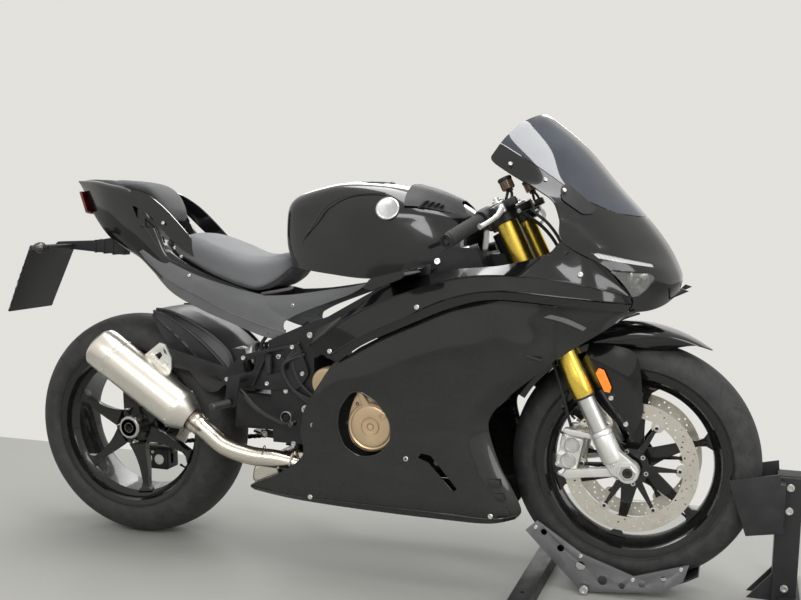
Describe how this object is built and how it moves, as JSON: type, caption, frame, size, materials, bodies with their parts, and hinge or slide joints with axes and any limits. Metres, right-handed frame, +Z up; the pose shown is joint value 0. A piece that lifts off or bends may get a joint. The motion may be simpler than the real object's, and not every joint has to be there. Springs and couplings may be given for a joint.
{
  "type": "sport bike in a front wheel chock",
  "caption": "Full-fairing sport motorcycle, upright in a steel front-wheel chock, with turning wheels, steering and a folding side stand.",
  "frame": {"origin": "middle of the whole footprint, on the floor", "axes": "+X to the front of the bike, +Y to the rider's left, +Z up"},
  "size_m": [2.192, 0.7612, 1.1678],
  "materials": {
    "frame_black": "satin",
    "engine_metal": "satin",
    "bronze_cover": "satin",
    "radiator_black": "satin",
    "gloss_black": "gloss",
    "satin_black": "satin",
    "panel_grey": "satin",
    "seat_grey": "matte",
    "seat_black": "matte",
    "trim_black": "matte",
    "lamp_red": "gloss",
    "lamp_clear": "gloss",
    "screen_smoke": "gloss",
    "exhaust_steel": "brushed",
    "fork_gold": "anodised",
    "cast_silver": "satin",
    "steel": "brushed",
    "caliper_black": "satin",
    "chain_steel": "oiled",
    "rubber": "matte",
    "tyre": "matte",
    "rim_black": "gloss",
    "chock_black": "satin",
    "chock_grey": "satin"
  },
  "bodies": {
    "chassis": {"main_frame": "frame_black", "engine_block": "engine_metal", "engine_covers": "bronze_cover", "radiator": "radiator_black", "fuel_tank": "gloss_black", "rider_seat": "seat_grey", "pillion_seat": "seat_black", "tail_cowl": "gloss_black", "side_panels": "panel_grey", "tail_light": "lamp_red", "plate_holder": "trim_black", "rear_indicators": "trim_black", "nose_fairing": "gloss_black", "windscreen": "screen_smoke", "headlights": "lamp_clear", "side_fairing_right": "gloss_black", "side_fairing_left": "gloss_black", "belly_fairing_right": "satin_black", "belly_fairing_left": "satin_black", "cockpit_display": "trim_black", "exhaust_pipe": "exhaust_steel", "silencer": "exhaust_steel", "rear_hugger": "gloss_black", "swingarm": "frame_black", "rear_caliper": "caliper_black", "rear_shock": "cast_silver", "footrests": "frame_black", "drive_chain": "chain_steel"},
    "front_fork": {"fork_yokes": "frame_black", "fork_tubes": "fork_gold", "fork_legs": "cast_silver", "front_axle": "steel", "front_calipers": "cast_silver", "front_fender": "gloss_black", "handlebars": "frame_black", "grips": "rubber", "hand_controls": "trim_black", "brake_hoses": "rubber", "chock_base": "chock_black", "chock_cradle": "chock_grey"},
    "front_wheel": {"front_tyre": "tyre", "front_rim": "rim_black", "front_discs": "steel"},
    "rear_wheel": {"rear_tyre": "tyre", "rear_rim": "rim_black", "rear_spindle": "steel", "rear_disc": "steel"},
    "stand_leg": {"side_stand": "frame_black"}
  },
  "joints": [
    {"name": "steering", "type": "hinge", "parent": "chassis", "child": "front_fork", "pos_m": [0.40816, 0, 0.80154], "axis": [-0.4384, 0, 0.8988], "range_deg": [-24, 24]},
    {"name": "front_wheel_spin", "type": "hinge", "parent": "front_fork", "child": "front_wheel", "pos_m": [0.696, 0, 0.33], "axis": [0, 1, 0], "continuous": true},
    {"name": "rear_wheel_spin", "type": "hinge", "parent": "chassis", "child": "rear_wheel", "pos_m": [-0.704, 0, 0.32], "axis": [0, 1, 0], "continuous": true},
    {"name": "side_stand", "type": "hinge", "parent": "chassis", "child": "stand_leg", "pos_m": [-0.204, 0.204, 0.25], "axis": [0, -1, 0], "range_deg": [0, 100]}
  ]
}
